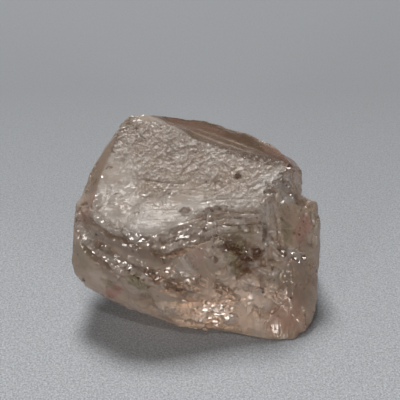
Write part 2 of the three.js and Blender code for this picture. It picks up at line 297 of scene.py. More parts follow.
@dataclass(frozen=True)
class Sight:
    """Where the photograph was taken from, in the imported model's frame."""

    rise_deg: float = 38.0
    distance: float = 130.0
    aim: Corner = (0.3, 3.65, 7.5)
    lens_mm: float = 117.0
    film_mm: float = 36.0
    frame_pixels: float = 400.0

    def look(self) -> Points:
        """Gives the way that the camera looks."""
        rise = math.radians(self.rise_deg)
        return np.array([0.0, math.cos(rise), -math.sin(rise)])

    def place(self) -> Points:
        """Gives the camera's place."""
        return np.array(self.aim) - self.look() * self.distance

    def ray(self, pixel: Pixel) -> Points:
        """Gives the way from the camera through a pixel of the 400 by 400 frame.

        Args:
            pixel: Across from the left and down from the top.

        Returns:
            The unit vector.
        """
        rise = math.radians(self.rise_deg)
        up = np.array([0.0, math.sin(rise), math.cos(rise)])
        focal = self.lens_mm / self.film_mm * self.frame_pixels
        middle = 0.5 * self.frame_pixels
        way = self.look() + up * (middle - pixel[1]) / focal
        way = way + np.array([(pixel[0] - middle) / focal, 0.0, 0.0])
        return way / np.linalg.norm(way)

    def land(self, skin: BVHTree, pixel: Pixel) -> Points:
        """Finds where the line of sight through a pixel meets the crystal.

        Args:
            skin: The crystal's skin, in millimetres.
            pixel: The pixel.

        Returns:
            The point, or the nearest one where the line just misses.
        """
        start, way = Vector(self.place()), Vector(self.ray(pixel))
        hit = skin.ray_cast(start, way)[0]
        if hit is None:
            hit = skin.find_nearest(start + way * self.distance)[0]
        return np.array(hit)


@dataclass(frozen=True)
class Plane:
    """One of the crystal's flat faces: the way it looks and a point on it."""

    facing_deg: float
    rise_deg: float
    through: Corner

    def height(self, points: Points) -> Scalars:
        """Gives how far each point stands off the face."""
        return (points - np.array(self.through)) @ direction(self.facing_deg, self.rise_deg)

    def share(self, points: Points, normals: Points, depth: float) -> Scalars:
        """Tells which points lie on the face.

        Args:
            points: Points of the skin.
            normals: Their outward ways.
            depth: How far off the face a point may be.

        Returns:
            1 on the face and 0 well off it.
        """
        level = smoothstep(*SAME_WAY, normals @ direction(self.facing_deg, self.rise_deg))
        return level * smoothstep(depth, 0.6 * depth, np.abs(self.height(points)))


@dataclass(frozen=True)
class Trace:
    """A line on the crystal: as the photograph's pixels, or as places where it doesn't show."""

    pixels: tuple[Pixel, ...] = ()
    places: tuple[Corner, ...] = ()

    def laid(self, sight: Sight, skin: BVHTree) -> Points:
        """Lays the line on the skin.

        Args:
            sight: The photograph's view.
            skin: The crystal's skin.

        Returns:
            Its corners, in millimetres.
        """
        seen = [sight.land(skin, pixel) for pixel in self.pixels]
        return np.array(seen + [np.array(place) for place in self.places])


def line_gap(line: Points, points: Points) -> tuple[Scalars, Scalars]:
    """Measures how far points are from a line of corners.

    Args:
        line: The corners. A single one stands for itself.
        points: The points.

    Returns:
        The distance to the line, and the share of its length at the nearest place.
    """
    if len(line) == 1:
        return np.linalg.norm(points - line[0], axis=1), np.zeros(len(points))
    lengths = np.linalg.norm(np.diff(line, axis=0), axis=1)
    starts = np.concatenate([[0.0], np.cumsum(lengths)])
    nearest = np.full(len(points), np.inf)
    along = np.zeros(len(points))
    for k, (start, end) in enumerate(zip(line[:-1], line[1:])):
        way = end - start
        share = np.clip((points - start) @ way / max(way @ way, 1e-9), 0.0, 1.0)
        gap = np.linalg.norm(points - start - share[:, None] * way, axis=1)
        closer = gap < nearest
        nearest = np.where(closer, gap, nearest)
        along = np.where(closer, (starts[k] + share * lengths[k]) / starts[-1], along)
    return nearest, along


@dataclass(frozen=True)
class Lumps:
    """Soft unevenness of one sort: its noise, the size of a lump, its height and its octaves."""

    seed: Seed
    size: float | Corner
    height: float
    octaves: int

    def at(self, points: Points) -> Scalars:
        """Gives its height at each point."""
        noise = Noise(self.seed).fractal(points / np.array(self.size), self.octaves)
        return self.height * noise


@dataclass(frozen=True)
class Chips:
    """Small flat facets of one sort: their noise, their width and their height."""

    seed: Seed
    size: float
    height: float

    def at(self, points: Points) -> Scalars:
        """Gives their height at each point."""
        return self.height * Noise(self.seed).facets(points / self.size)


@dataclass(frozen=True)
class Lines:
    """Fine lines that all run one way: their length, their width and their height."""

    length: float
    width: float
    height: float

    def shape(self, seed: Seed, run: Scalars, side: Scalars) -> Scalars:
        """Gives the lines' shape, to which their height isn't yet applied.

        Args:
            seed: Where their noise starts.
            run: How far along them each point is.
            side: How far across them each point is.

        Returns:
            A value from -1 to 1 for each point.
        """
        level = np.zeros(len(run))
        return Noise(seed).smooth(
            np.column_stack([run / self.length, side / self.width, level])
        )


@dataclass(frozen=True)
class Seam:
    """A broken edge: rough stone on both sides of a line."""

    trace: Trace
    radius: float


@dataclass(frozen=True)
class Groove:
    """A narrow line cut in, or standing proud where its depth is below nought."""

    trace: Trace
    width: float
    depth: float


@dataclass(frozen=True)
class Spot:
    """A patch of colour in the stone: its trace, reach and strength."""

    trace: Trace
    reach: float
    strength: float = 1.0


@dataclass(frozen=True)
class Lamp:
    """A square soft light that looks at the crystal."""

    name: str
    at: Corner
    side: float
    watts: float
    tint: Corner

    def build(self) -> None:
        """Hangs the light."""
        data = bpy.data.lights.new(self.name, "AREA")
        data.shape = "SQUARE"
        data.size = self.side * MM
        data.energy = self.watts
        data.color = self.tint
        lamp = bpy.data.objects.new(self.name, data)
        bpy.context.scene.collection.objects.link(lamp)
        lamp.location = Vector(self.at) * MM
        aim = Vector(LAMP_AIM) * MM
        lamp.rotation_euler = (aim - lamp.location).to_track_quat("-Z", "Y").to_euler()


COOL_LIGHT = (1.0, 0.99, 0.975)
WARM_LIGHT = (1.0, 0.95, 0.9)
KEY_BEHIND = Lamp("key_behind", (-35.0, 175.0, 310.0), 92.0, 1.0, COOL_LIGHT)
HIGH_SHEEN = Lamp("high_sheen", (-20.0, -125.0, 345.0), 52.0, 0.15, WARM_LIGHT)
FRONT_FILL = Lamp("front_fill", (-190.0, -300.0, 95.0), 66.0, 0.21, WARM_LIGHT)
FRONT_SPARK = Lamp("front_spark", (170.0, -290.0, 115.0), 54.0, 0.15, WARM_LIGHT)


@dataclass(frozen=True)
class Flash:
    """A patch of tiny facets that nearly all look the same way, so that they light up together."""

    spot: Spot
    lamp: Lamp = HIGH_SHEEN

    def way(self, points: Points, sight: Sight) -> Points:
        """Gives the way that a facet looks when it lights up.

        Args:
            points: Points of the skin.
            sight: The photograph's view, to which the facets send the lamp's light.

        Returns:
            One unit vector for each point.
        """
        total = np.zeros_like(points)
        for place in (np.array(self.lamp.at), sight.place()):
            away = place - points
            total += away / np.linalg.norm(away, axis=1)[:, None]
        return total / np.linalg.norm(total, axis=1)[:, None]


STRIATED = Plane(270.0, 60.0, (0.3, 2.85, 15.3))

MAIN_LEDGE = Trace(
    (
        (84, 207), (95, 219), (104, 228), (110, 231), (120, 232), (130, 237), (138, 239),
        (150, 240), (153, 245), (160, 249), (170, 248), (180, 245), (190, 240), (200, 238),
    )
)
SPARKLING_STEP = Trace(((160, 242), (170, 236), (182, 231), (195, 229), (205, 228)))
SECOND_LEDGE = Trace(
    (
        (77, 221), (82, 240), (95, 251), (110, 259), (118, 268), (130, 271), (145, 277),
        (165, 283), (185, 290), (200, 297),
    )
)
LOWER_TREAD = Trace(((95, 246), (104, 251), (114, 262), (126, 267), (138, 269), (155, 275)))
APRON_BREAK = Trace(((196, 314), (208, 318), (222, 316), (232, 320)))
APRON_TOP = Trace(((206, 308), (214, 304), (224, 309)))
KNOB_BREAK = Trace(((119, 131), (123, 124), (131, 121), (140, 124)))
RIGHT_KNOB = Trace(((268, 192), (276, 186), (284, 180), (290, 172)))
LOBE_EDGE = Trace(((280, 196), (288, 199), (297, 199), (303, 203)))
HIGH_TERRACE = Trace(((196, 213), (215, 208), (240, 209), (258, 206)))
MIDDLE_TERRACE = Trace(((205, 227), (225, 221), (245, 222), (260, 221)))
LOW_TERRACE = Trace(((205, 235), (222, 229), (240, 230), (258, 229)))
PIT_HOLLOW = Trace(((240, 254), (246, 260), (244, 268)))
PIT_BREAK = Trace(((222, 244), (236, 250), (248, 256), (258, 254), (266, 240)))
COLUMN_CLEFT = Trace(((262, 208), (264, 222), (266, 236), (276, 246), (284, 256)))
COLUMN_PATCH = Trace(((288, 254), (296, 255), (303, 258)))
MIDDLE_RIM = Trace(((196, 280), (205, 283), (216, 287), (226, 292), (236, 298)))
TOE_RIM = Trace(((240, 286), (252, 289), (262, 292)))
LEFT_NICK = Trace(((76, 221), (79, 216)))
WHITE_NICK = Trace(((86, 192),))
REAR_LEFT_FOOT = Trace(places=((-9.6, 3.4, 2.2), (-6.0, 6.8, 1.6), (-1.0, 8.2, 1.4)))
REAR_RIGHT_EDGE = Trace(places=((4.0, 8.3, 4.2), (8.4, 6.8, 5.2), (11.4, 3.6, 4.6)))

SEAMS = (
    Seam(MAIN_LEDGE, 0.75),
    Seam(SPARKLING_STEP, 1.1),
    Seam(HIGH_TERRACE, 0.35),
    Seam(MIDDLE_TERRACE, 0.45),
    Seam(LOW_TERRACE, 0.5),
    Seam(SECOND_LEDGE, 0.7),
    Seam(LOWER_TREAD, 0.8),
    Seam(APRON_BREAK, 1.0),
    Seam(APRON_TOP, 0.8),
    Seam(KNOB_BREAK, 0.9),
    Seam(RIGHT_KNOB, 0.6),
    Seam(LOBE_EDGE, 0.7),
    Seam(PIT_BREAK, 0.8),
    Seam(COLUMN_CLEFT, 0.55),
    Seam(COLUMN_PATCH, 0.7),
    Seam(MIDDLE_RIM, 0.6),
    Seam(TOE_RIM, 0.5),
    Seam(LEFT_NICK, 0.6),
    Seam(WHITE_NICK, 0.45),
    Seam(REAR_LEFT_FOOT, 1.2),
    Seam(REAR_RIGHT_EDGE, 1.1),
)

GROOVES = (
    Groove(
        Trace(((87, 214), (98, 226), (109, 235), (122, 238), (134, 244), (147, 247))), 0.4, 0.32
    ),
    Groove(Trace(((147, 247), (157, 254), (169, 255), (183, 250), (197, 244))), 0.4, 0.32),
    Groove(
        Trace(((79, 243), (92, 256), (106, 265), (118, 275), (131, 278), (142, 283))), 0.38, 0.28
    ),
    Groove(Trace(((142, 283), (160, 289), (176, 294), (192, 301))), 0.4, 0.28),
    Groove(
        Trace(((84, 207), (95, 219), (104, 228), (120, 232), (130, 237), (150, 240))), 0.25, -0.12
    ),
    Groove(Trace(((82, 238), (95, 249), (110, 257), (120, 267), (138, 270))), 0.25, -0.12),
    Groove(Trace(((262, 206), (262, 222), (263, 240))), 0.3, 0.2),
    Groove(Trace(((268, 208), (268, 224), (269, 238))), 0.3, -0.12),
    Groove(Trace(((139, 179), (152, 181), (168, 183), (188, 184))), 0.16, 0.12),
    Groove(Trace(((110, 186), (124, 187), (140, 187))), 0.14, 0.02),
    Groove(Trace(((150, 189), (170, 190), (186, 191))), 0.14, 0.04),
    Groove(Trace(((216, 191), (226, 184), (238, 171), (246, 160))), 0.16, -0.06),
    Groove(Trace(((196, 203), (215, 200), (236, 199), (256, 199))), 0.18, 0.06),
    Groove(Trace(((178, 212), (185, 210), (192, 212))), 0.22, 0.09),
    Groove(Trace(((186, 221), (200, 216), (214, 211))), 0.18, 0.08),
    Groove(Trace(((142, 271), (150, 273), (158, 279), (166, 282))), 0.3, 0.25),
    Groove(Trace(((165, 287), (176, 290), (186, 293))), 0.3, 0.22),
    Groove(Trace(((192, 280), (200, 282), (208, 286))), 0.3, 0.22),
    Groove(Trace(((213, 280), (226, 290), (236, 299))), 0.35, 0.2),
    Groove(Trace(((252, 304), (258, 310), (263, 318))), 0.3, 0.15),
    Groove(Trace(((273, 203), (277, 218), (279, 236), (281, 247))), 0.3, 0.18),
    Groove(Trace(((278, 246), (284, 253), (291, 262))), 0.4, 0.3),
    Groove(Trace(((310, 210), (313, 228), (313, 250))), 0.3, 0.12),
    Groove(Trace(((265, 181), (270, 188), (279, 193))), 0.3, 0.2),
)

HOLLOWS = (
    Spot(Trace(((237, 177),)), 0.32, 0.16),
    Spot(Trace(((217, 182),)), 0.35, 0.2),
    Spot(PIT_HOLLOW, 0.75, 0.12),
    Spot(Trace(((257, 252), (258, 257))), 0.5, 0.12),
    Spot(Trace(((224, 244),)), 0.5, 0.1),
    Spot(Trace(((264, 230), (266, 238))), 0.45, 0.2),
    Spot(Trace(((281, 250),)), 0.5, 0.15),
    Spot(Trace(((154, 280),)), 0.55, 0.15),
    Spot(Trace(((180, 290),)), 0.6, 0.15),
    Spot(Trace(((76, 221),)), 0.35, 0.25),
    Spot(Trace(((112, 152),)), 0.25, 0.15),
    Spot(Trace(((218, 222), (230, 226))), 0.5, 0.2),
)

RUST = (
    Spot(Trace(((229, 241), (237, 247), (243, 254), (247, 262), (241, 270))), 1.3, 0.7),
    Spot(PIT_HOLLOW, 0.75),
    Spot(Trace(((238, 250), (244, 252))), 0.35, 0.9),
    Spot(Trace(((257, 250), (258, 258))), 0.55),
    Spot(Trace(((252, 268), (244, 276))), 0.5, 0.25),
    Spot(Trace(((248, 244), (252, 248))), 0.35, 0.6),
    Spot(Trace(((222, 243), (225, 246))), 0.6, 0.85),
    Spot(Trace(((264, 228), (266, 236))), 0.45, 0.6),
    Spot(Trace(((280, 248), (283, 252))), 0.5, 0.7),
    Spot(Trace(((236, 272), (244, 272))), 0.6, 0.3),
    Spot(Trace(((150, 278), (156, 281))), 0.6, 0.8),
    Spot(Trace(((176, 288), (184, 291))), 0.6, 0.8),
    Spot(Trace(((198, 281),)), 0.4, 0.6),
    Spot(Trace(((176, 255), (180, 246))), 0.5, 0.45),
    Spot(Trace(((77, 221),)), 0.35, 0.7),
    Spot(Trace(((237, 177),)), 0.3, 0.3),
    Spot(Trace(((188, 211),)), 0.3, 0.2),
    Spot(Trace(((112, 284), (110, 280))), 0.4, 0.3),
    Spot(Trace(places=((-7.4, 8.0, 9.4),)), 0.9, 0.5),
    Spot(Trace(places=((2.6, 8.4, 8.6),)), 0.9, 0.5),
)

OLIVE = (
    Spot(Trace(((236, 240), (240, 248), (234, 256), (238, 268))), 1.1, 0.9),
    Spot(Trace(((286, 226), (288, 238))), 0.8, 0.6),
    Spot(Trace(((133, 280), (142, 284))), 0.8, 0.9),
    Spot(Trace(((106, 282), (112, 286))), 0.6, 0.6),
    Spot(Trace(((80, 250), (84, 262))), 1.3, 0.4),
    Spot(Trace(((225, 236), (250, 234))), 1.0, 0.5),
)

BLUSH = (
    Spot(Trace(((305, 222), (300, 236))), 1.1, 0.8),
    Spot(Trace(((292, 305), (280, 318), (298, 322))), 1.7, 0.4),
    Spot(Trace(((112, 293), (118, 288))), 0.9, 1.0),
    Spot(Trace(((200, 252), (196, 258))), 1.0, 0.5),
    Spot(Trace(((176, 122), (215, 132))), 1.3, 0.25),
    Spot(Trace(((90, 200), (84, 215))), 1.2, 0.4),
    Spot(Trace(((270, 148), (292, 170))), 1.2, 0.4),
)

# Painted shade: umber patches that darken the far band behind the top face, the undercut below the
# main ledge, the lower right and other faces that the lamps light too brightly.
DUSK = (
    Spot(Trace(((165, 117), (190, 122), (215, 130), (240, 138), (262, 147), (285, 159))), 1.7),
    Spot(
        Trace(((160, 117), (187, 127), (213, 137), (242, 147), (270, 157), (290, 166))), 0.7, 0.85
    ),
    Spot(Trace(((166, 121), (180, 129), (200, 138), (225, 147), (250, 155), (276, 162))), 0.8, 0.8),
    Spot(Trace(((100, 236), (118, 243), (140, 252), (170, 258))), 0.9, 0.5),
    Spot(Trace(((282, 186), (292, 190))), 0.9, 0.3),
    Spot(Trace(((136, 136), (160, 148), (190, 150))), 1.9, 0.22),
    Spot(Trace(((292, 275), (296, 300), (280, 325))), 2.4, 0.3),
    Spot(Trace(((246, 268), (258, 280))), 1.4, 0.3),
    Spot(Trace(((175, 292), (200, 300))), 1.3, 0.25),
    Spot(Trace(((216, 282), (228, 291))), 0.7, 0.4),
    Spot(Trace(((114, 138), (101, 162), (92, 188))), 1.0, 0.42),
)

# Painted light: milky patches that stand for the sheen on the top face's lower middle, glints on
# the ledges and the bottom facet, and light on the right knob and the column.
PALE = (
    Spot(Trace(((268, 184), (280, 180), (291, 172))), 1.7, 1.0),
    Spot(Trace(((284, 200), (295, 198))), 0.6, 0.8),
    Spot(Trace(((288, 254), (302, 257))), 0.7, 0.7),
    Spot(Trace(((265, 208), (266, 240))), 0.5, 0.7),
    Spot(Trace(((135, 228), (165, 222), (195, 206), (245, 200))), 1.1, 0.7),
    Spot(Trace(((82, 226), (90, 246))), 0.8, 0.6),
    Spot(Trace(((97, 247), (110, 256), (130, 268), (150, 276))), 0.6, 0.4),
    Spot(Trace(((208, 312), (220, 308), (228, 318))), 1.0, 0.9),
    Spot(Trace(((240, 284), (258, 306))), 1.1, 0.6),
    Spot(Trace(((165, 240), (180, 234), (198, 236))), 0.9, 0.4),
)

CALM = (
    Spot(Trace(((160, 118), (200, 130), (230, 139), (260, 149), (287, 160))), 1.7),
    Spot(Trace(((115, 134), (104, 158), (96, 180), (89, 202))), 1.3),
    Spot(Trace(((78, 240), (80, 262), (98, 280), (120, 295))), 1.7),
    Spot(Trace(((108, 240), (122, 246), (140, 254), (165, 268))), 1.2, 0.8),
    Spot(Trace(((296, 275), (300, 296), (280, 325))), 2.2, 0.9),
    Spot(Trace(((242, 292), (254, 300))), 1.2, 0.8),
    Spot(Trace(((205, 262), (220, 275))), 1.2, 0.6),
    Spot(Trace(((165, 296), (190, 301), (240, 318))), 1.5, 0.7),
    Spot(Trace(((290, 210), (300, 240))), 1.4, 0.6),
    Spot(Trace(places=((9.0, 6.0, 6.0), (4.0, 8.5, 8.0), (-6.0, 7.5, 9.0))), 3.5, 0.8),
)

LEDGE_ROLL = Spot(Trace(((105, 226), (128, 238), (150, 242), (180, 243), (205, 234))), 4.6, 0.5)
SMOOTH_WINDOW = Spot(Trace(((112, 178), (120, 205), (140, 215), (165, 222), (190, 205))), 3.4)
LINED_PART = Spot(Trace(((165, 192), (200, 192), (235, 195), (258, 196))), 1.8)

FLASHES = (
    Flash(Spot(Trace(((128, 237), (150, 241))), 0.7)),
    Flash(Spot(Trace(((160, 241), (170, 236), (182, 233), (200, 236))), 0.95)),
    Flash(Spot(Trace(((92, 246), (104, 253), (116, 262))), 0.85)),
    Flash(Spot(Trace(((124, 267), (140, 272), (155, 277), (166, 276))), 0.7)),
    Flash(Spot(Trace(((205, 309), (217, 306), (226, 314), (214, 318))), 1.05), FRONT_FILL),
    Flash(Spot(Trace(((180, 304), (196, 310))), 0.8, 0.5), FRONT_FILL),
    Flash(Spot(Trace(((215, 189), (228, 180), (244, 162), (256, 166))), 0.8, 0.3)),
    Flash(Spot(Trace(((130, 140), (150, 150), (175, 160))), 0.9, 0.2)),
    Flash(Spot(Trace(((120, 130), (125, 123), (132, 121))), 0.8)),
    Flash(Spot(Trace(((268, 188), (276, 184), (284, 182))), 0.8, 0.4)),
    Flash(Spot(Trace(((284, 178), (291, 170))), 0.8, 0.6)),
    Flash(Spot(Trace(((286, 253), (296, 256), (304, 259))), 0.6), FRONT_SPARK),
    Flash(Spot(Trace(((284, 200), (296, 197))), 0.5, 0.8), FRONT_SPARK),
    Flash(Spot(Trace(((232, 247), (246, 250))), 0.5, 0.8)),
    Flash(Spot(Trace(((168, 270), (190, 280))), 0.6, 0.7), FRONT_FILL),
    Flash(Spot(Trace(((80, 232), (86, 244))), 0.6, 0.7), FRONT_FILL),
    Flash(Spot(Trace(((205, 226), (232, 232))), 0.7, 0.6)),
)


@dataclass
class Relief:
    """All that stands off the crystal's flat faces, as heights along the skin's normals."""

    points: Points
    normals: Points
    sight: Sight
    skin: BVHTree
    wander: Lumps = Lumps(Seed.WANDER, 0.8, 0.3, 3)
    patch_edge: Lumps = Lumps(Seed.PATCH_EDGE, 0.45, 1.6, 3)
    seam_core: float = 0.3
    patch_core: float = 0.35
    face_depth: float = 1.4
    front_way: Corner = (0.0, -0.9, 0.44)
    column_start: tuple[float, float] = (6.6, 7.4)
    column_top: tuple[float, float] = (12.0, 11.2)
    broad: Lumps = Lumps(Seed.SWELL, 4.2, 0.13, 2)
    uneven: Lumps = Lumps(Seed.UNEVEN, 1.5, 0.05, 2)
    line_drift: Lumps = Lumps(Seed.LINE_DRIFT, 2.5, 0.2, 1)
    line_bundle: Lumps = Lumps(Seed.LINE_BUNDLE, 2.0, 1.0, 2)
    line_slope: float = 0.06
    growth: Lines = Lines(2.2, 0.3, 0.028)
    dimple_size: Corner = (0.8, 0.6, 0.6)
    dimple_depth: float = 0.0108
    dimple_tilt: float = 0.0126
    ridge: Lumps = Lumps(Seed.RIDGE, 0.75, 0.0162, 3)
    etching: tuple[Chips, ...] = (
        Chips(Seed.ETCHING, 0.55, 0.0315),
        Chips(Seed.FINE_ETCHING, 0.3, 0.0225),
    )
    wisp: Lines = Lines(2.6, 0.32, 0.045)
    wisp_turns_deg: tuple[tuple[Seed, float], ...] = (
        (Seed.STEEP_WISP, 52.0),
        (Seed.LOW_WISP, 28.0),
        (Seed.CROSS_WISP, -40.0),
    )
    splinter: tuple[Chips, ...] = (
        Chips(Seed.SPLINTER, 1.3, 0.312),
        Chips(Seed.SMALL_SPLINTER, 0.62, 0.186),
        Chips(Seed.FINE_SPLINTER, 0.34, 0.0748),
    )
    flow_way: Corner = (0.9, -0.33, -0.28)
    flow_width: float = 1.1
    flow_length: float = 3.6
    crease_height: float = 0.16
    step_pitch: float = 0.6
    step_shift: float = 9.0
    step_count: float = 5.0
    step_height: float = 0.0448
    streak: Lumps = Lumps(Seed.STREAK, (0.55, 0.55, 2.6), 0.09, 3)
    knob: Lumps = Lumps(Seed.KNOB, 1.2, 0.12, 3)
    shell_size: float = 2.6
    shell_rings: float = 30.0
    ring_height: float = 0.012
    flake_tilt: float = 0.7
    chip: tuple[Chips, ...] = (
        Chips(Seed.CHIP, 1.5, 0.14),
        Chips(Seed.FINE_CHIP, 0.6, 0.05),
    )
    groove_edge: Lumps = Lumps(Seed.GROOVE_EDGE, 0.7, 0.3, 1)
    hollow_edge: Lumps = Lumps(Seed.HOLLOW_EDGE, 0.6, 0.4, 2)
    broken: Scalars = field(init=False)
    grown: Scalars = field(init=False)
    window: Scalars = field(init=False)
    front: Scalars = field(init=False)
    column: Scalars = field(init=False)
    calm: Scalars = field(init=False)

    def __post_init__(self) -> None:
        """Sorts the skin into broken stone, grown face, window, front, column and calm parts."""
        near = np.zeros(len(self.points))
        for seam in SEAMS:
            core = self.seam_core * seam.radius
            near = np.maximum(near, smoothstep(seam.radius, core, self.gap(seam.trace)))
        self.broken = smoothstep(0.3, 0.7, near + self.wander.at(self.points))
        face = STRIATED.share(self.points, self.normals, self.face_depth)
        self.grown = face * (1.0 - self.broken)
        self.window = self.grown * self.patches((SMOOTH_WINDOW,), 0.25)
        toward = self.normals @ np.array(self.front_way)
        self.front = smoothstep(0.05, 0.4, toward) * (1.0 - face)
        right = smoothstep(*self.column_start, self.points[:, 0])
        below = smoothstep(*self.column_top, self.points[:, 2])
        self.column = right * below * (1.0 - face)
        self.calm = self.patches(CALM, 0.3) * (1.0 - self.grown) * (1.0 - self.broken)

    def gap(self, trace: Trace) -> Scalars:
        """Gives how far each point is from a line laid on the skin."""
        return line_gap(trace.laid(self.sight, self.skin), self.points)[0]

    def patches(self, spots: tuple[Spot, ...], raggedness: float = 0.5) -> Scalars:
        """Gives how strongly each point is within some patches.

        Args:
            spots: The patches.
            raggedness: How uneven their edges are.

        Returns:
            0 outside all of them, up to the strength of the strongest.
        """
        ragged = 1.0 + raggedness * self.patch_edge.at(self.points)
        depth = np.zeros(len(self.points))
        for spot in spots:
            core = self.patch_core * spot.reach
            inside = smoothstep(spot.reach, core, self.gap(spot.trace) * ragged)
            depth = np.maximum(depth, spot.strength * inside)
        return depth

    def swell(self) -> Scalars:
        """Broad unevenness of every face, and the grown face's roll towards the ledge.

        Returns:
            The heights.
        """
        flat = 1.0 - 0.7 * self.grown
        near = np.clip(1.0 - self.gap(LEDGE_ROLL.trace) / LEDGE_ROLL.reach, 0.0, 1.0)
        roll = LEDGE_ROLL.strength * self.grown * near * near
        return flat * self.broad.at(self.points) - roll + self.uneven.at(self.points)

    def growth_lines(self) -> Scalars:
        """Fine lines along X on the grown face, dense in one part and faint elsewhere.

        Returns:
            The heights.
        """
        run = self.points[:, 0]
        side = self.points[:, 1] + self.line_slope * run + self.line_drift.at(self.points)
        bundle = smoothstep(-0.1, 0.5, self.line_bundle.at(self.points))
        dense = self.patches((LINED_PART,), 0.4)
        weight = self.grown * (0.1 + 0.25 * bundle + 0.65 * dense)
        return self.growth.height * weight * self.growth.shape(Seed.GROWTH_LINE, run, side)

    def crust(self) -> Scalars:
        """The dimpled, etched top and right of the grown face.

        Returns:
            The heights.
        """
        rough = self.grown * (1.0 - 0.9 * self.window)
        squeezed = self.points / np.array(self.dimple_size)
        distance, offset, chance = Noise(Seed.DIMPLE).cells(squeezed)
        depth = self.dimple_depth * (0.25 + 0.75 * chance[:, 0])
        dimples = depth * (smoothstep(0.0, 0.7, distance) - 0.6)
        tilt = self.dimple_tilt * np.sum(offset * (chance - 0.5), axis=1)
        ridges = 0.4 * self.ridge.height - np.abs(self.ridge.at(self.points))
        etched = sum(chips.at(self.points) for chips in self.etching)
        return rough * (dimples + tilt + ridges + etched + self.wisps())

    def wisps(self) -> Scalars:
        """Thin raised lines that cross the grown face aslant.

        Returns:
            The heights.
        """
        across, up = self.points[:, 0], self.points @ direction(90.0, 30.0)
        total = np.zeros(len(self.points))
        for seed, turn_deg in self.wisp_turns_deg:
            turn = math.radians(turn_deg)
            run = math.cos(turn) * across + math.sin(turn) * up
            side = math.cos(turn) * up - math.sin(turn) * across
            total += smoothstep(0.3, 0.75, self.wisp.shape(seed, run, side))
        return self.wisp.height * total

    def splinters(self) -> Scalars:
        """Small tilted facets where the stone is broken."""
        return self.broken * sum(chips.at(self.points) for chips in self.splinter)

    def flashes(self) -> tuple[Scalars, Points]:
        """Finds the patches that light up.

        Returns:
            The share of lit facets at each point, and the way that they look.
        """
        share = np.zeros(len(self.points))
        ways = self.normals.copy()
        for flash in FLASHES:
            here = self.patches((flash.spot,), 0.6)
            stronger = here > share
            ways[stronger] = flash.way(self.points[stronger], self.sight)
            share = np.maximum(share, here)
        return share, ways

    def flow(self) -> Scalars:
        """Long low ridges and steps that run with the ledges over the broken front.

        Returns:
            The heights.
        """
        along = np.array(self.flow_way)
        along = along / np.linalg.norm(along)
        run = self.points @ along
        across = self.points - run[:, None] * along
        stretched = across / self.flow_width + (run / self.flow_length)[:, None] * along
        crease = self.crease_height * (0.2 - np.abs(Noise(Seed.CREASE).facets(stretched)))
        tread = Noise(Seed.STEP).fractal(stretched * self.step_pitch + self.step_shift, 2)
        tread = self.step_count * tread
        stepped = self.step_height * (np.floor(tread) + smoothstep(0.0, 0.35, tread % 1.0))
        weight = self.front * (1.0 - 0.8 * self.column) * (1.0 - 0.5 * self.broken)
        return weight * (1.0 - 0.8 * self.calm) * (crease + stepped)

    def pillars(self) -> Scalars:
        """Upright streaks and knobs on the right-hand column."""
        lumps = self.streak.at(self.points) + self.knob.at(self.points)
        return self.column * (1.0 - 0.7 * self.calm) * lumps

    def shells(self) -> Scalars:
        """Shallow flakes, chips and curved ripples on the other breaks.

        Returns:
            The heights.
        """
        rest = (1.0 - self.broken) * (1.0 - self.grown) * (1.0 - 0.75 * self.calm)
        distance, offset, chance = Noise(Seed.SHELL).cells(self.points / self.shell_size)
        rings = np.sin(self.shell_rings * distance + 6.0 * chance[:, 0])
        rings = self.ring_height * rings * smoothstep(0.9, 0.2, distance)
        fade = smoothstep(0.85, 0.3, distance)
        flake = self.flake_tilt * fade * np.sum(offset * (chance - 0.5), axis=1)
        return rest * (rings + flake + sum(chips.at(self.points) for chips in self.chip))

    def cuts(self) -> Scalars:
        """Single grooves, raised lines and hollows.

        Returns:
            The heights.
        """
        total = np.zeros(len(self.points))
        groove_edge = 1.0 + self.groove_edge.at(self.points)
        for groove in GROOVES:
            gap, along = line_gap(groove.trace.laid(self.sight, self.skin), self.points)
            taper = smoothstep(0.0, 0.15, along) * smoothstep(1.0, 0.85, along)
            total -= groove.depth * taper * smoothstep(groove.width, 0.0, gap * groove_edge)
        hollow_edge = 1.0 + self.hollow_edge.at(self.points)
        for hollow in HOLLOWS:
            gap = self.gap(hollow.trace) * hollow_edge
            total -= hollow.strength * smoothstep(hollow.reach, 0.0, gap)
        return total

    def fine(self) -> Scalars:
        """Adds the relief that is small enough that its hollows are later darkened with painted
        shade.
        """
        lines = self.growth_lines() + self.crust() + self.splinters() + self.flow()
        return lines + self.pillars() + self.shells() + self.cuts()

    def marks(self, fine: Scalars, lit: Scalars) -> dict[Mark, Scalars]:
        """Gathers what the finish needs to know of each point.

        Args:
            fine: The fine relief, with hollows below nought.
            lit: The share of lit facets.

        Returns:
            A value from 0 to 1 for each point and mark.
        """
        hollow = smoothstep(0.0, -0.14, fine + 0.05 * self.broken)
        return {
            Mark.RUST: self.patches(RUST, 0.9),
            Mark.OLIVE: self.patches(OLIVE),
            Mark.BLUSH: self.patches(BLUSH),
            Mark.BROKEN: self.broken,
            Mark.GROWN: self.grown,
            Mark.WINDOW: self.window,
            Mark.CALM: self.calm,
            # Painted shade: the hollows of the fine relief are darkened in the finish.
            Mark.CREVICE: hollow * (1.0 - self.window),
            # Painted highlight: the ridges of the fine relief are lightened in the finish.
            Mark.CREST: smoothstep(0.02, 0.12, fine) * (1.0 - self.calm),
            Mark.DUSK: self.patches(DUSK, 0.2),
            Mark.PALE: self.patches(PALE),
            Mark.FLASH: lit,
            Mark.REAR: smoothstep(0.3, 0.6, self.normals[:, 1]),
            Mark.COLUMN: self.column,
            Mark.FRONT: self.front,
        }


def rows(source: bpy.types.bpy_prop_collection, name: str) -> Points:
    """Reads one vector of each part of a mesh.

    Args:
        source: The mesh's vertices or their normals.
        name: The vector's name.

    Returns:
        One row for each part.
    """
    values = np.empty(len(source) * 3)
    source.foreach_get(name, values)
    return values.reshape(-1, 3)


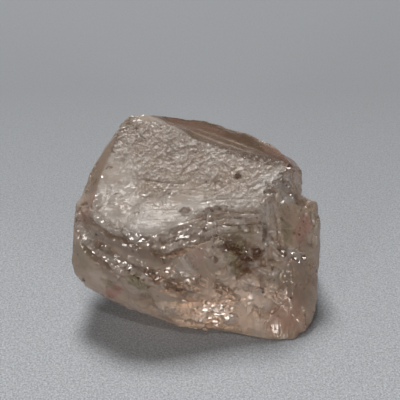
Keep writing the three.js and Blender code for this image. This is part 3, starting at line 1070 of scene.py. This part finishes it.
@dataclass
class TopazStone:
    """The whole crystal: its fine skin, its clear brown finish and the marks of its growth."""

    node: str
    slot: str
    sight: Sight
    voxel: float = 0.138
    foot: float = 0.3

    def skin(self) -> bpy.types.Object:
        """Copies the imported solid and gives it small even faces.

        Returns:
            The new object, still flat-faced.
        """
        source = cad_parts[self.node]
        rough = bpy.data.objects.new("crystal_blank", source.data.copy())
        bpy.context.scene.collection.objects.link(rough)
        remesh = rough.modifiers.new("even_faces", "REMESH")
        remesh.mode = "VOXEL"
        remesh.voxel_size = self.voxel * MM
        graph = bpy.context.evaluated_depsgraph_get()
        mesh = bpy.data.meshes.new_from_object(rough.evaluated_get(graph))
        bpy.data.objects.remove(rough)
        stone = bpy.data.objects.new("rough_topaz", mesh)
        bpy.context.scene.collection.objects.link(stone)
        return stone

    def carve(self, stone: bpy.types.Object) -> None:
        """Raises and sinks the skin, and keeps what its finish needs as marks.

        Args:
            stone: The object whose mesh is worked on.
        """
        mesh = stone.data
        points = rows(mesh.vertices, "co") / MM
        normals = rows(mesh.vertex_normals, "vector")
        faces = [tuple(face.vertices) for face in mesh.polygons]
        skin = BVHTree.FromPolygons([Vector(point) for point in points], faces)
        relief = Relief(points, normals, self.sight, skin)
        low, high = (np.array(corner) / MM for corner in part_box(self.node))
        standing = smoothstep(0.0, self.foot, points[:, 2] - low[2])
        fine = relief.fine()
        moved = points + normals * ((relief.swell() + fine) * standing)[:, None]
        moved = np.clip(moved, low, high)
        mesh.vertices.foreach_set("co", (moved * MM).astype(np.float32).ravel())
        lit, ways = relief.flashes()
        for mark, values in relief.marks(fine, lit).items():
            layer = mesh.attributes.new(mark.value, "FLOAT", "POINT")
            layer.data.foreach_set("value", values.astype(np.float32))
        layer = mesh.attributes.new(FLASH_WAY, "FLOAT_VECTOR", "POINT")
        layer.data.foreach_set("vector", ways.astype(np.float32).ravel())
        mesh.update()

    def build(self) -> bpy.types.Object:
        """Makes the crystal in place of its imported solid.

        Returns:
            The dressed object.
        """
        stone = self.skin()
        self.carve(stone)
        stone.data.materials.clear()
        stone.data.materials.append(TopazFinish().material())
        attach(stone, "root")
        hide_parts(self.node)
        log.info("%s: %d faces", stone.name, len(stone.data.polygons))
        return stone


@dataclass
class Wiring:
    """A node tree with short ways to add and join nodes."""

    tree: bpy.types.NodeTree

    def add(self, kind: str, **values: object) -> bpy.types.Node:
        """Adds a node and sets its named inputs.

        Args:
            kind: The node's type.
            values: Inputs by name, with spaces as underscores, as plain values or sockets.

        Returns:
            The node.
        """
        node = self.tree.nodes.new(kind)
        for name, value in values.items():
            self.feed(node.inputs[name.replace("_", " ")], value)
        return node

    def feed(self, socket: Socket, value: object) -> None:
        """Sets an input to a plain value or joins a socket to it.

        Args:
            socket: The input.
            value: The plain value, or the socket that it comes from.
        """
        if isinstance(value, Socket):
            self.tree.links.new(value, socket)
        else:
            socket.default_value = value

    def math(self, operation: str, *values: object) -> Socket:
        """Works out one sum.

        Args:
            operation: The sum's name, such as MULTIPLY.
            values: Its numbers, each plain or a socket.

        Returns:
            The result.
        """
        node = self.tree.nodes.new("ShaderNodeMath")
        node.operation = operation
        for socket, value in zip(node.inputs, values):
            self.feed(socket, value)
        return node.outputs[0]

    def vector(self, operation: str, *values: object) -> Socket:
        """Works out one sum of vectors.

        Args:
            operation: The sum's name, such as ADD.
            values: Its vectors, each plain or a socket.

        Returns:
            The result.
        """
        node = self.tree.nodes.new("ShaderNodeVectorMath")
        node.operation = operation
        for socket, value in zip(node.inputs, values):
            self.feed(socket, value)
        return node.outputs["Vector"]

    def blend(
        self, share: object, first: object, second: object, kind: Blend = Blend.COLOUR
    ) -> Socket:
        """Mixes two colours or two normals.

        Args:
            share: How much of the second shows.
            first: What shows at 0.
            second: What shows at 1.
            kind: What is mixed.

        Returns:
            The mixture.
        """
        data_type, places, result = kind.value
        node = self.tree.nodes.new("ShaderNodeMix")
        node.data_type = data_type
        for place, value in zip(places, (share, first, second)):
            self.feed(node.inputs[place], value)
        return node.outputs[result]

    def spread(
        self, value: object, low: float, high: float, to_low: float, to_high: float
    ) -> Socket:
        """Maps a value from one range to another.

        Args:
            value: The value.
            low: Where its range starts.
            high: Where it ends.
            to_low: What the start becomes.
            to_high: What the end becomes.

        Returns:
            The mapped value.
        """
        node = self.add(
            "ShaderNodeMapRange",
            Value=value,
            From_Min=low,
            From_Max=high,
            To_Min=to_low,
            To_Max=to_high,
        )
        return node.outputs["Result"]

    def noise(self, place: object, count: object, detail: float) -> Socket:
        """Adds soft noise.

        Args:
            place: Where to look it up.
            count: How many lumps there are to a unit of the place.
            detail: How many finer octaves it has.

        Returns:
            The noise, from 0 to 1.
        """
        node = self.add("ShaderNodeTexNoise", Vector=place, Scale=count, Detail=detail)
        return node.outputs["Fac"]

    def stretch(self, place: Socket, counts: Corner, turn: Corner = (0.0, 0.0, 0.0)) -> Socket:
        """Scales coordinates by axis, and turns them.

        Args:
            place: The coordinates.
            counts: The scale along each axis.
            turn: The turn about each axis, in radians.

        Returns:
            The new coordinates.
        """
        node = self.add("ShaderNodeMapping", Vector=place, Scale=counts, Rotation=turn)
        return node.outputs["Vector"]

    def mark(self, mark: Mark) -> Socket:
        """Reads one of the skin's own marks.

        Args:
            mark: Which one.

        Returns:
            Its value.
        """
        node = self.tree.nodes.new("ShaderNodeAttribute")
        node.attribute_name = mark.value
        return node.outputs["Fac"]

    def place(self) -> Socket:
        """Gives the object's own coordinates."""
        return self.tree.nodes.new("ShaderNodeTexCoord").outputs["Object"]

    def effect(self, tree: bpy.types.NodeTree, **values: object) -> bpy.types.Node:
        """Places a node group and sets its inputs.

        Args:
            tree: The group.
            values: Its inputs by name, as plain values or sockets.

        Returns:
            The node.
        """
        node = self.tree.nodes.new("ShaderNodeGroup")
        node.node_tree = tree
        for name, value in values.items():
            self.feed(node.inputs[name], value)
        return node


def new_group(name: str, inputs: dict[str, Kind], outputs: dict[str, Kind]) -> Wiring:
    """Starts a shader node group with named ends.

    Args:
        name: The group's name.
        inputs: The kind of socket of each input.
        outputs: The kind of socket of each output.

    Returns:
        The group's wiring, with its two end nodes in place.
    """
    tree = bpy.data.node_groups.new(name, "ShaderNodeTree")
    for label, kind in inputs.items():
        tree.interface.new_socket(label, in_out="INPUT", socket_type=kind.value)
    for label, kind in outputs.items():
        tree.interface.new_socket(label, in_out="OUTPUT", socket_type=kind.value)
    tree.nodes.new("NodeGroupInput")
    tree.nodes.new("NodeGroupOutput")
    return Wiring(tree)


@dataclass(frozen=True)
class Grain:
    """Fine grit of two sizes, used by the stone and the floor, in grains to the metre."""

    coarse: float
    fine: float
    fine_share: float = 0.45

    def group(self) -> bpy.types.NodeTree:
        """Makes the node group once and hands it out.

        Returns:
            A group from Place, Coarse and Fine to Height.
        """
        known = bpy.data.node_groups.get("fine_grit")
        if known:
            return known
        inputs = {"Place": Kind.VECTOR, "Coarse": Kind.NUMBER, "Fine": Kind.NUMBER}
        wiring = new_group("fine_grit", inputs, {"Height": Kind.NUMBER})
        ends = wiring.tree.nodes["Group Input"].outputs
        coarse = wiring.noise(ends["Place"], ends["Coarse"], 2.0)
        fine = wiring.noise(ends["Place"], ends["Fine"], 1.0)
        part = wiring.math("MULTIPLY", fine, self.fine_share)
        height = wiring.math("MULTIPLY_ADD", coarse, 1.0 - self.fine_share, part)
        wiring.feed(wiring.tree.nodes["Group Output"].inputs["Height"], height)
        return wiring.tree

    def placed(self, wiring: Wiring, place: Socket) -> Socket:
        """Puts the group in a material.

        Args:
            wiring: The material's wiring.
            place: Its coordinates.

        Returns:
            The grit's height, from 0 to 1.
        """
        node = wiring.effect(self.group(), Place=place, Coarse=self.coarse, Fine=self.fine)
        return node.outputs["Height"]


@dataclass(frozen=True)
class Splinters:
    """Tiny flat facets, each tilted its own way, that catch the light one by one."""

    count: float
    tilt: float

    def group(self) -> bpy.types.NodeTree:
        """Makes the node group once and hands it out.

        Returns:
            A group that turns a Share of all facets from Normal to about the Way.
        """
        known = bpy.data.node_groups.get("tilted_facets")
        if known:
            return known
        vectors = dict.fromkeys(("Place", "Normal", "Way"), Kind.VECTOR)
        numbers = dict.fromkeys(("Share", "Count", "Tilt"), Kind.NUMBER)
        wiring = new_group("tilted_facets", vectors | numbers, {"Normal": Kind.VECTOR})
        ends = wiring.tree.nodes["Group Input"].outputs
        cells = wiring.add("ShaderNodeTexVoronoi", Vector=ends["Place"], Scale=ends["Count"])
        lean = wiring.vector("SUBTRACT", cells.outputs["Color"], (0.5, 0.5, 0.5))
        spread = wiring.vector("MULTIPLY", lean, ends["Tilt"])
        aimed = wiring.vector("NORMALIZE", wiring.vector("ADD", ends["Way"], spread))
        parts = wiring.add("ShaderNodeSeparateXYZ", Vector=cells.outputs["Position"])
        chance = wiring.math("FRACT", wiring.math("MULTIPLY", parts.outputs["X"], CHANCE_SCALE))
        chosen = wiring.math("LESS_THAN", chance, ends["Share"])
        mixed = wiring.blend(chosen, ends["Normal"], aimed, Blend.NORMAL)
        wiring.feed(wiring.tree.nodes["Group Output"].inputs["Normal"], mixed)
        return wiring.tree

    def placed(
        self, wiring: Wiring, place: Socket, share: Socket, normal: Socket, way: Socket
    ) -> Socket:
        """Puts the group in a material.

        Args:
            wiring: The material's wiring.
            place: Its coordinates.
            share: The share of facets that are turned.
            normal: The normal of those that aren't.
            way: The way that the turned ones look, give or take the tilt.

        Returns:
            The facets' normal.
        """
        node = wiring.effect(
            self.group(),
            Place=place,
            Share=share,
            Normal=normal,
            Way=way,
            Count=self.count,
            Tilt=self.tilt,
        )
        return node.outputs["Normal"]


@dataclass(frozen=True)
class TopazFinish:
    """Clear pale brown topaz, frosted where it grew, brighter where it broke, with painted shade in
    its hollows and painted highlights on its ridges.

    A count is of lumps, lines or facets to the metre.
    """

    clear: Colour = (0.94, 0.87, 0.8, 1.0)
    warm: Colour = (0.89, 0.76, 0.65, 1.0)
    amber: Colour = (0.86, 0.67, 0.52, 1.0)
    pink: Colour = (0.76, 0.45, 0.37, 1.0)
    moss: Colour = (0.45, 0.39, 0.22, 1.0)
    iron: Colour = (0.17, 0.07, 0.03, 1.0)
    brown: Colour = (0.5, 0.36, 0.26, 1.0)
    # Dark brown for the painted shade patches.
    umber: Colour = (0.27, 0.18, 0.125, 1.0)
    # Milky white of crushed stone, also used for painted highlights on crests and in lit patches.
    milk_and_highlight: Colour = (0.96, 0.9, 0.84, 1.0)
    depth_colour: Colour = (0.92, 0.89, 0.865, 1.0)
    depth_density: float = 500.0
    transmission: float = 0.58
    index: float = 1.62
    cloud_count: float = 420.0
    mottle_count: float = 1500.0
    mottle_strength: float = 0.45
    streak_counts: Corner = (1300.0, 1300.0, 260.0)
    streak_strength: float = 0.65
    front_warmth: float = 0.7
    # Painted shade on the etched grown face and in crevices, painted highlight on crests; broken
    # stone is milky white.
    etched_shade_paint: float = 0.4
    crest_highlight_paint: float = 0.35
    broken_milk: float = 0.15
    crevice_shade_paint: float = 0.6
    fleck_count: float = 1900.0
    fleck_strength: float = 0.5
    sheen_count: float = 900.0
    least_roughness: float = 0.13
    most_roughness: float = 0.32
    window_change: float = -0.06
    rear_change: float = 0.34
    calm_change: float = -0.1
    crisp_change: float = -0.2
    grit: Grain = Grain(3200.0, 8000.0)
    calm_grit: float = 0.3
    line_counts: Corner = (350.0, 5200.0, 900.0)
    line_height: float = 0.8
    bump_strength: float = 0.7
    bump_depth_m: float = 0.00004
    pit_count: float = 2600.0
    pit_strength: float = 0.9
    pit_depth_m: float = 0.00025
    chips: Splinters = Splinters(3600.0, 0.7)
    chipped_share: float = 0.7
    slivers: Splinters = Splinters(5200.0, 0.22)
    sliver_share: float = 0.66
    sliver_stretch: Corner = (0.55, 1.0, 1.2)
    sliver_turn: Corner = (0.0, 0.35, 0.3)

    def material(self) -> bpy.types.Material:
        """Makes the material.

        Returns:
            A see-through material with roughness, tint and fine bumps from nodes.
        """
        material = bpy.data.materials.new("pale_brown_topaz")
        material.use_nodes = True
        wiring = Wiring(material.node_tree)
        shader = material.node_tree.nodes["Principled BSDF"]
        shader.inputs["Transmission Weight"].default_value = self.transmission
        shader.inputs["IOR"].default_value = self.index
        place = wiring.place()
        wiring.feed(shader.inputs["Base Color"], self.tint(wiring, place))
        wiring.feed(shader.inputs["Roughness"], self.roughness(wiring, place))
        wiring.feed(shader.inputs["Normal"], self.bumps(wiring, place))
        absorb = material.node_tree.nodes.new("ShaderNodeVolumeAbsorption")
        absorb.inputs["Color"].default_value = self.depth_colour
        absorb.inputs["Density"].default_value = self.depth_density
        wiring.feed(material.node_tree.nodes["Material Output"].inputs["Volume"], absorb.outputs[0])
        return material

    def etched(self, wiring: Wiring) -> Socket:
        """Marks the grown face outside its smooth window."""
        return wiring.math("SUBTRACT", wiring.mark(Mark.GROWN), wiring.mark(Mark.WINDOW))

    def tint(self, wiring: Wiring, place: Socket) -> Socket:
        """Clouds of warmer stone, pink and mossy patches, iron in the hollows and dark flecks, with
        painted shade and painted highlights.

        Args:
            wiring: The material's wiring.
            place: Its coordinates.

        Returns:
            The base colour.
        """
        clouds = wiring.noise(place, self.cloud_count, 4.0)
        colour = wiring.blend(wiring.spread(clouds, 0.4, 0.65, 0.0, 1.0), self.clear, self.warm)
        mottle = wiring.noise(place, self.mottle_count, 3.0)
        spotted = wiring.spread(mottle, 0.5, 0.7, 0.0, self.mottle_strength)
        colour = wiring.blend(spotted, colour, self.brown)
        upright = wiring.noise(wiring.stretch(place, self.streak_counts), 1.0, 3.0)
        for full, tone in ((0.4, self.moss), (0.6, self.pink)):
            streak = wiring.spread(upright, 0.5, full, 0.0, self.streak_strength)
            streak = wiring.math("MULTIPLY", streak, wiring.mark(Mark.COLUMN))
            colour = wiring.blend(streak, colour, tone)
        # Painted shade on the etched grown face, in crevices and in umber patches, and painted
        # highlights on crests and pale patches, among the stone's own amber, milky, pink and mossy
        # tints.
        for share, strength, tone in (
            (wiring.mark(Mark.FRONT), self.front_warmth, self.amber),
            (self.etched(wiring), self.etched_shade_paint, self.brown),
            (wiring.mark(Mark.CREST), self.crest_highlight_paint, self.milk_and_highlight),
            (wiring.mark(Mark.PALE), 1.0, self.milk_and_highlight),
            (wiring.mark(Mark.BROKEN), self.broken_milk, self.milk_and_highlight),
            (wiring.mark(Mark.CREVICE), self.crevice_shade_paint, self.brown),
            (wiring.mark(Mark.DUSK), 1.0, self.umber),
            (wiring.mark(Mark.BLUSH), 1.0, self.pink),
            (wiring.mark(Mark.OLIVE), 1.0, self.moss),
        ):
            colour = wiring.blend(wiring.math("MULTIPLY", share, strength), colour, tone)
        flecks = wiring.noise(place, self.fleck_count, 2.0)
        fleck = wiring.spread(flecks, 0.66, 0.74, 0.0, self.fleck_strength)
        colour = wiring.blend(fleck, colour, self.iron)
        speckled = wiring.spread(mottle, 0.4, 0.65, 1.0, 0.5)
        rusty = wiring.math("MULTIPLY", wiring.mark(Mark.RUST), speckled)
        return wiring.blend(rusty, colour, self.iron)

    def roughness(self, wiring: Wiring, place: Socket) -> Socket:
        """Satin breaks, a frosted grown face and bright splinters, all a little uneven.

        Args:
            wiring: The material's wiring.
            place: Its coordinates.

        Returns:
            The roughness.
        """
        uneven = wiring.noise(place, self.sheen_count, 3.0)
        rough = wiring.spread(uneven, 0.3, 0.7, self.least_roughness, self.most_roughness)
        crisp = wiring.math("MAXIMUM", wiring.mark(Mark.BROKEN), wiring.mark(Mark.FLASH))
        for share, change in (
            (wiring.mark(Mark.WINDOW), self.window_change),
            (wiring.mark(Mark.REAR), self.rear_change),
            (wiring.mark(Mark.CALM), self.calm_change),
            (crisp, self.crisp_change),
        ):
            rough = wiring.math("MULTIPLY_ADD", share, change, rough)
        return rough

    def bumps(self, wiring: Wiring, place: Socket) -> Socket:
        """The finest grit, growth lines and pits, too small for the skin's own faces.

        Args:
            wiring: The material's wiring.
            place: Its coordinates.

        Returns:
            The bent normal.
        """
        lines = wiring.noise(wiring.stretch(place, self.line_counts), 1.0, 2.0)
        lined = wiring.math("MULTIPLY", lines, wiring.mark(Mark.GROWN))
        gritty = wiring.spread(wiring.mark(Mark.CALM), 0.0, 1.0, 1.0, self.calm_grit)
        grit = wiring.math("MULTIPLY", self.grit.placed(wiring, place), gritty)
        pits = wiring.noise(place, self.pit_count, 4.0)
        coarse = wiring.add(
            "ShaderNodeBump",
            Height=wiring.math("MULTIPLY", pits, self.etched(wiring)),
            Strength=self.pit_strength,
            Distance=self.pit_depth_m,
        )
        fine = wiring.add(
            "ShaderNodeBump",
            Height=wiring.math("MULTIPLY_ADD", lined, self.line_height, grit),
            Strength=self.bump_strength,
            Distance=self.bump_depth_m,
            Normal=coarse.outputs["Normal"],
        )
        return self.sparkle(wiring, place, fine.outputs["Normal"])

    def sparkle(self, wiring: Wiring, place: Socket, bent: Socket) -> Socket:
        """Turns small facets of the broken and the lit parts.

        Args:
            wiring: The material's wiring.
            place: Its coordinates.
            bent: The normal between the facets.

        Returns:
            The normal with the facets.
        """
        chipped = wiring.math("MULTIPLY", wiring.mark(Mark.BROKEN), self.chipped_share)
        bent = self.chips.placed(wiring, place, chipped, bent, bent)
        lit = wiring.tree.nodes.new("ShaderNodeAttribute")
        lit.attribute_name = FLASH_WAY
        share = wiring.math("MULTIPLY", wiring.mark(Mark.FLASH), self.sliver_share)
        drawn = wiring.stretch(place, self.sliver_stretch, self.sliver_turn)
        return self.slivers.placed(wiring, drawn, share, bent, lit.outputs["Vector"])


@dataclass(frozen=True)
class Studio:
    """A pale floor, soft light from above and behind, and the camera at the photograph's angle."""

    sight: Sight
    floor_colour: Colour = (0.35, 0.367, 0.392, 1.0)
    floor_half_m: float = 1.5
    floor_gap: float = 0.02
    floor_grain: Grain = Grain(5200.0, 9000.0)
    # Painted light: the floor's tones near the front are paler than those to the back.
    near_painted_shades: tuple[float, float] = (0.9, 1.9)
    far_painted_shades: tuple[float, float] = (0.86, 0.98)
    near_m: float = -0.02
    far_m: float = 0.035
    floor_roughness: float = 0.85
    floor_shine: float = 0.2
    room_colour: Colour = (1.0, 0.95, 0.9, 1.0)
    low_glow: float = 0.08
    high_glow: float = 0.04
    glow_top: float = 0.8
    nearest_m: float = 0.01
    farthest_m: float = 10.0
    lamps: tuple[Lamp, ...] = (KEY_BEHIND, HIGH_SHEEN, FRONT_FILL, FRONT_SPARK)

    def shade(self, share: float) -> Colour:
        """Gives the floor's colour, darker or paler."""
        return tuple(share * part for part in self.floor_colour[:3]) + (1.0,)

    def floor(self) -> None:
        """Lays the floor just under the crystal, with painted light making it a little paler and
        grittier to the front.
        """
        half, level = self.floor_half_m, -self.floor_gap * MM
        corners = ((-half, -half), (half, -half), (half, half), (-half, half))
        mesh = bpy.data.meshes.new("floor")
        mesh.from_pydata([(x, y, level) for x, y in corners], [], [(0, 1, 2, 3)])
        floor = bpy.data.objects.new("floor", mesh)
        bpy.context.scene.collection.objects.link(floor)
        material = bpy.data.materials.new("pale_floor")
        material.use_nodes = True
        wiring = Wiring(material.node_tree)
        shader = material.node_tree.nodes["Principled BSDF"]
        place = wiring.place()
        share = wiring.spread(self.floor_grain.placed(wiring, place), 0.35, 0.65, 0.0, 1.0)
        depth = wiring.add("ShaderNodeSeparateXYZ", Vector=place).outputs["Y"]
        away = wiring.spread(depth, self.near_m, self.far_m, 0.0, 1.0)
        near = wiring.blend(share, *(self.shade(part) for part in self.near_painted_shades))
        far = wiring.blend(share, *(self.shade(part) for part in self.far_painted_shades))
        wiring.feed(shader.inputs["Base Color"], wiring.blend(away, near, far))
        shader.inputs["Roughness"].default_value = self.floor_roughness
        shader.inputs["Specular IOR Level"].default_value = self.floor_shine
        mesh.materials.append(material)

    def lights(self) -> None:
        """Hangs the lamps and fills in the room's own glow, a little brighter near the horizon than
        overhead.
        """
        for lamp in self.lamps:
            lamp.build()
        world = bpy.data.worlds.new("soft_room")
        world.use_nodes = True
        wiring = Wiring(world.node_tree)
        glow = world.node_tree.nodes["Background"]
        glow.inputs["Color"].default_value = self.room_colour
        way = world.node_tree.nodes.new("ShaderNodeTexCoord").outputs["Generated"]
        split = wiring.add("ShaderNodeSeparateXYZ", Vector=way)
        strength = wiring.spread(
            split.outputs["Z"], 0.0, self.glow_top, self.low_glow, self.high_glow
        )
        wiring.feed(glow.inputs["Strength"], strength)
        bpy.context.scene.world = world

    def camera(self) -> None:
        """Sets the camera up at the photograph's angle and distance."""
        data = bpy.data.cameras.new("photo_view")
        data.lens = self.sight.lens_mm
        data.sensor_width = self.sight.film_mm
        data.clip_start = self.nearest_m
        data.clip_end = self.farthest_m
        camera = bpy.data.objects.new("photo_view", data)
        bpy.context.scene.collection.objects.link(camera)
        camera.location = Vector(self.sight.place()) * MM
        camera.rotation_euler = Vector(self.sight.look()).to_track_quat("-Z", "Y").to_euler()
        bpy.context.scene.camera = camera

    def build(self) -> None:
        """Sets up everything round the crystal."""
        self.floor()
        self.lights()
        self.camera()
        bpy.context.scene.view_settings.view_transform = "Standard"
        log.info("studio ready")


def main() -> None:
    """Builds the crystal and its studio."""
    logging.basicConfig(level=logging.INFO, format="%(message)s")
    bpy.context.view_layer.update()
    sight = Sight()
    TopazStone(NODE, SLOT, sight).build()
    Studio(sight).build()


if __name__ == "__main__":
    main()
